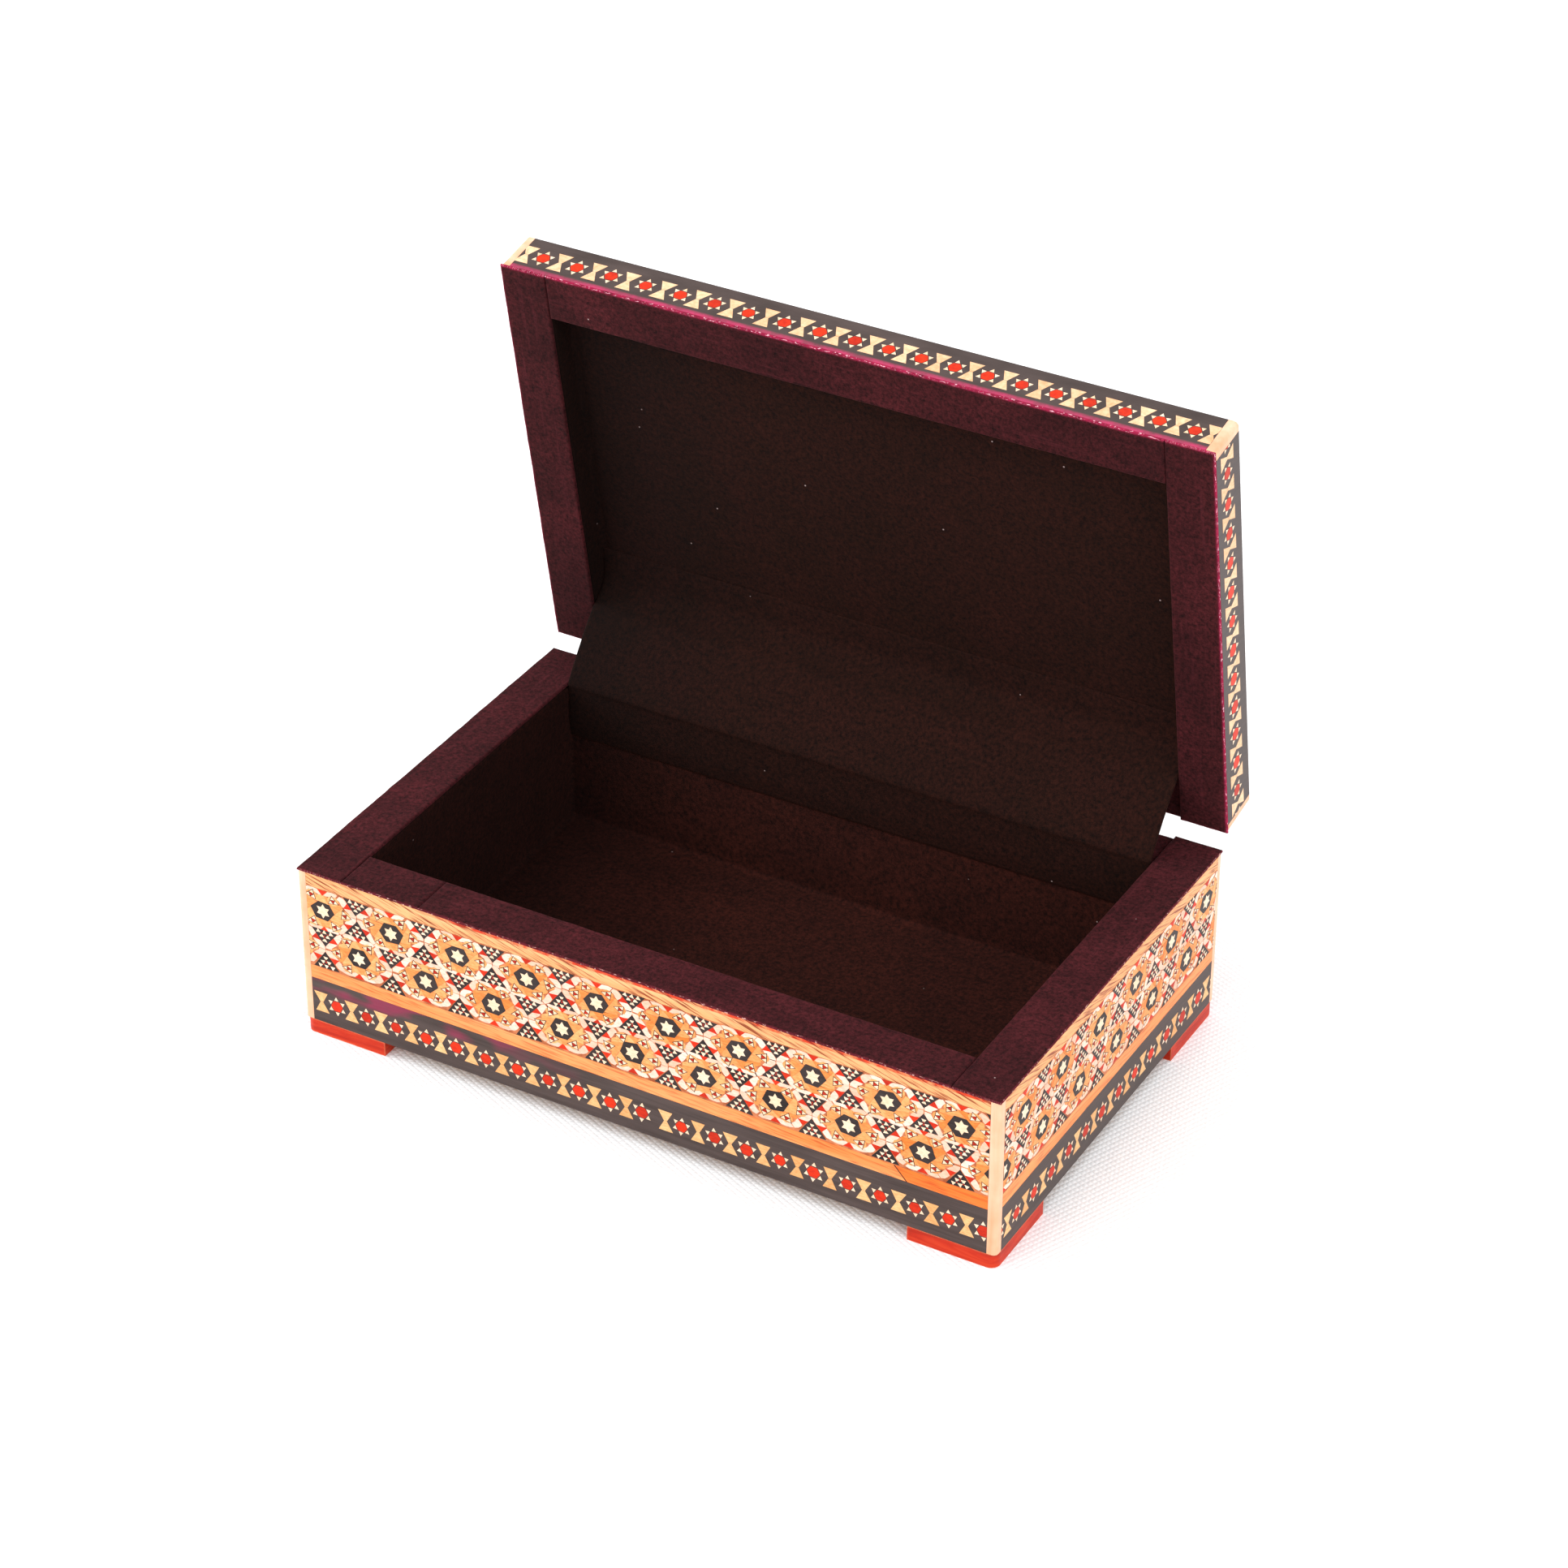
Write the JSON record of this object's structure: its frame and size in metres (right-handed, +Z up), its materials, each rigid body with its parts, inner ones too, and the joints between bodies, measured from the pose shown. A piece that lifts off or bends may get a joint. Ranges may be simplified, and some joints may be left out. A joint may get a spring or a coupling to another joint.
{
  "type": "inlaid wooden box with hinged lid",
  "caption": "Small rectangular wooden box veneered with star-pattern marquetry, lined with velvet, with a hinged lid, corner strips and block feet.",
  "frame": {"origin": "on the surface the feet stand on, under the middle of the whole object with its lid standing open", "axes": "+X to the right along the front of the box, +Y to the back where the hinges are, +Z up"},
  "size_m": [0.17, 0.1176, 0.1505],
  "materials": {
    "plain_wood": "plain unfinished wood",
    "khatam": "clear-lacquered marquetry of cream, orange, red and black pieces",
    "pale_strip": "clear-lacquered light orange wood",
    "orange_strip": "clear-lacquered orange wood",
    "border": "lacquered black wood inlaid with a row of bow ties and stars",
    "bone": "smooth cream strip, lacquered",
    "red_wood": "red-orange dyed wood",
    "rim_velvet": "dark wine velvet, flat pile",
    "lining_velvet": "very dark brown velvet",
    "brass": "thin pressed brass"
  },
  "bodies": {
    "base": {"back_border_band": "border", "back_khatam_panel": "khatam", "back_lower_strip": "orange_strip", "back_rim_velvet": "rim_velvet", "back_upper_strip": "pale_strip", "back_wall": "plain_wood", "base_lining": "lining_velvet", "floor_panel": "plain_wood", "foot_back_left": "red_wood", "foot_back_right": "red_wood", "foot_front_left": "red_wood", "foot_front_right": "red_wood", "front_border_band": "border", "front_khatam_panel": "khatam", "front_lower_strip": "orange_strip", "front_rim_velvet": "rim_velvet", "front_upper_strip": "pale_strip", "front_wall": "plain_wood", "hinge_cloth": "lining_velvet", "hinge_left_base_leaf": "brass", "hinge_left_pin": "brass", "hinge_right_base_leaf": "brass", "hinge_right_pin": "brass", "left_border_band": "border", "left_khatam_panel": "khatam", "left_lower_strip": "orange_strip", "left_rim_velvet": "rim_velvet", "left_upper_strip": "pale_strip", "left_wall": "plain_wood", "post_back_left": "bone", "post_back_right": "bone", "post_front_left": "bone", "post_front_right": "bone", "right_border_band": "border", "right_khatam_panel": "khatam", "right_lower_strip": "orange_strip", "right_rim_velvet": "rim_velvet", "right_upper_strip": "pale_strip", "right_wall": "plain_wood"},
    "lid": {"hinge_left_lid_leaf": "brass", "hinge_right_lid_leaf": "brass", "lid_back_edge_band": "border", "lid_back_rail": "plain_wood", "lid_back_rim_velvet": "rim_velvet", "lid_board": "plain_wood", "lid_front_edge_band": "border", "lid_front_rail": "plain_wood", "lid_front_rim_velvet": "rim_velvet", "lid_left_edge_band": "border", "lid_left_rail": "plain_wood", "lid_left_rim_velvet": "rim_velvet", "lid_lining": "lining_velvet", "lid_post_back_left": "bone", "lid_post_back_right": "bone", "lid_post_front_left": "bone", "lid_post_front_right": "bone", "lid_right_edge_band": "border", "lid_right_rail": "plain_wood", "lid_right_rim_velvet": "rim_velvet", "lid_top_veneer": "khatam"}
  },
  "joints": [
    {"name": "lid_hinge", "type": "hinge", "parent": "base", "child": "lid", "pos_m": [0, 0.04787, 0.04355], "axis": [-1, 0, 0], "range_deg": [-79.5, 3], "deforming": ["hinge_cloth"]}
  ]
}
